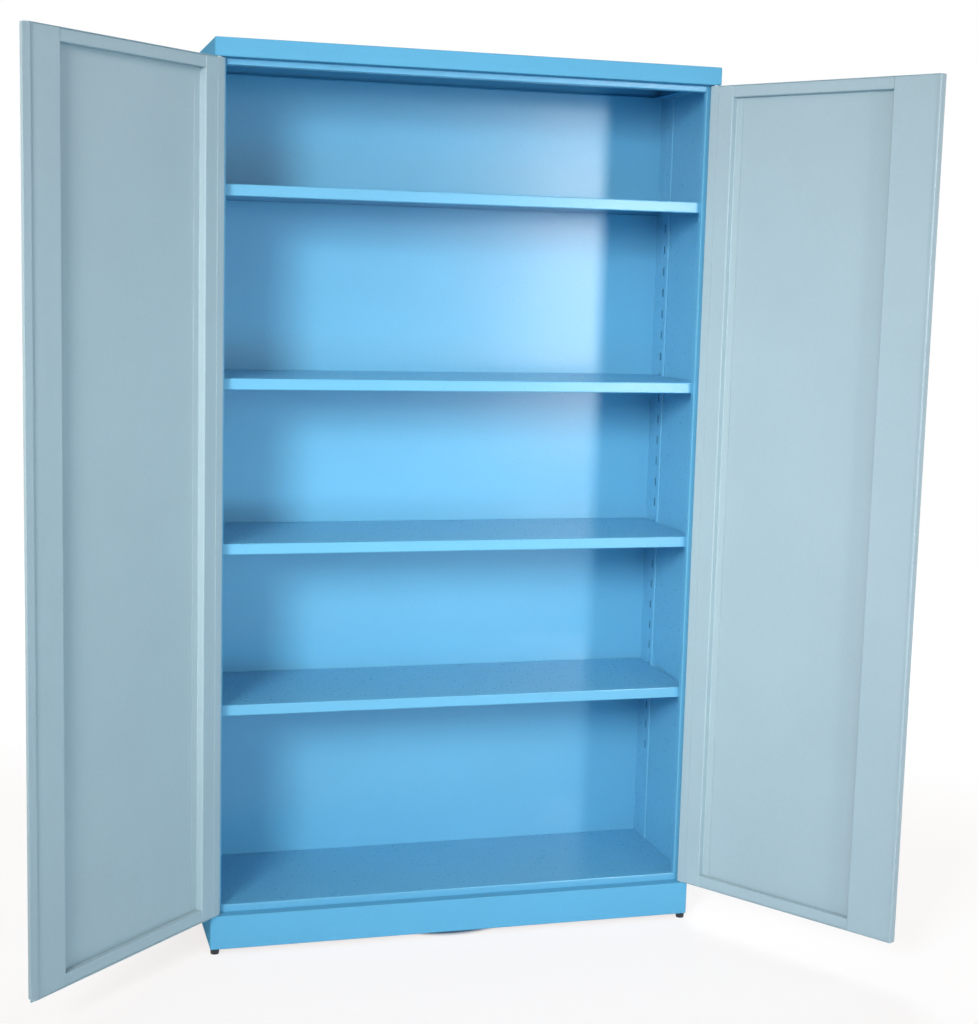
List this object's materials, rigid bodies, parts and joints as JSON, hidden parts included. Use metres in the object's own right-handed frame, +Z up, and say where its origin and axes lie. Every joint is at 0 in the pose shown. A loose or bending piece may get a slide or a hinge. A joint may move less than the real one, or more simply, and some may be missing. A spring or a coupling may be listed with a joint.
{
  "type": "tool cabinet",
  "caption": "Tall sheet-steel tool cabinet with pan doors standing open on pivot pins, adjustable shelves hooked into slotted uprights, folded cap and plinth, and a turn-handle rod lock.",
  "frame": {"origin": "centre of the bounding box at the height of the feet, with the doors open as at rest", "axes": "+Z up; +Y to the back, so the cabinet opens towards -Y; +X to the right seen from the front"},
  "size_m": [1.7818, 0.8148, 1.93],
  "materials": {
    "body_paint": "semi-gloss light-blue powder coat",
    "door_paint": "semi-gloss light-grey powder coat",
    "zinc": "zinc-plated",
    "dark_plastic": "moulded, matt"
  },
  "bodies": {
    "carcass": {"top_cap": "body_paint", "plinth": "body_paint", "left_side_panel": "body_paint", "right_side_panel": "body_paint", "back_panel": "body_paint", "floor_panel": "body_paint", "header_rail": "body_paint", "left_front_upright": "body_paint", "right_front_upright": "body_paint", "left_rear_upright": "body_paint", "right_rear_upright": "body_paint", "bottom_shelf": "body_paint", "left_front_clip_bottom_shelf": "zinc", "right_front_clip_bottom_shelf": "zinc", "left_rear_clip_bottom_shelf": "zinc", "right_rear_clip_bottom_shelf": "zinc", "lower_shelf": "body_paint", "left_front_clip_lower_shelf": "zinc", "right_front_clip_lower_shelf": "zinc", "left_rear_clip_lower_shelf": "zinc", "right_rear_clip_lower_shelf": "zinc", "upper_shelf": "body_paint", "left_front_clip_upper_shelf": "zinc", "right_front_clip_upper_shelf": "zinc", "left_rear_clip_upper_shelf": "zinc", "right_rear_clip_upper_shelf": "zinc", "top_shelf": "body_paint", "left_front_clip_top_shelf": "zinc", "right_front_clip_top_shelf": "zinc", "left_rear_clip_top_shelf": "zinc", "right_rear_clip_top_shelf": "zinc", "left_top_pin": "zinc", "left_bottom_pin": "zinc", "right_top_pin": "zinc", "right_bottom_pin": "zinc", "front_left_foot": "dark_plastic", "rear_left_foot": "dark_plastic", "front_right_foot": "dark_plastic", "rear_right_foot": "dark_plastic"},
    "left_door": {"left_door_skin": "door_paint", "left_door_hinge_stile": "door_paint", "left_door_free_stile": "door_paint", "left_door_top_rail": "door_paint", "left_door_bottom_rail": "door_paint", "left_door_stop_strip": "door_paint"},
    "right_door": {"right_door_skin": "door_paint", "right_door_hinge_stile": "door_paint", "right_door_free_stile": "door_paint", "right_door_top_rail": "door_paint", "right_door_bottom_rail": "door_paint", "lock_rosette": "dark_plastic", "lock_upper_rod_guide": "dark_plastic", "lock_lower_rod_guide": "dark_plastic"},
    "handle": {"lock_handle": "dark_plastic", "lock_cam": "zinc"},
    "upper_rod": {"lock_upper_rod": "zinc"},
    "lower_rod": {"lock_lower_rod": "zinc"}
  },
  "joints": [
    {"name": "left_door_hinge", "type": "hinge", "parent": "carcass", "child": "left_door", "pos_m": [-0.49656, 0.04744, 0.98875], "axis": [0, 0, 1], "range_deg": [-44, 136]},
    {"name": "right_door_hinge", "type": "hinge", "parent": "carcass", "child": "right_door", "pos_m": [0.58544, 0.04744, 0.98875], "axis": [0, 0, 1], "range_deg": [-123.5, 56.5]},
    {"name": "handle_turn", "type": "hinge", "parent": "right_door", "child": "handle", "pos_m": [0.86102, -0.3508, 1], "axis": [-0.8339, -0.5519, 0], "range_deg": [0, 90]},
    {"name": "upper_rod_slide", "type": "slide", "parent": "right_door", "child": "upper_rod", "axis": [0, 0, 1], "range_m": [0, 0.02263]},
    {"name": "lower_rod_slide", "type": "slide", "parent": "right_door", "child": "lower_rod", "axis": [0, 0, -1], "range_m": [0, 0.02263]}
  ],
  "couplings": [
    {"joint": "upper_rod_slide", "follows": "handle_turn", "m_per_rad": 0.0144},
    {"joint": "lower_rod_slide", "follows": "handle_turn", "m_per_rad": 0.0144}
  ]
}
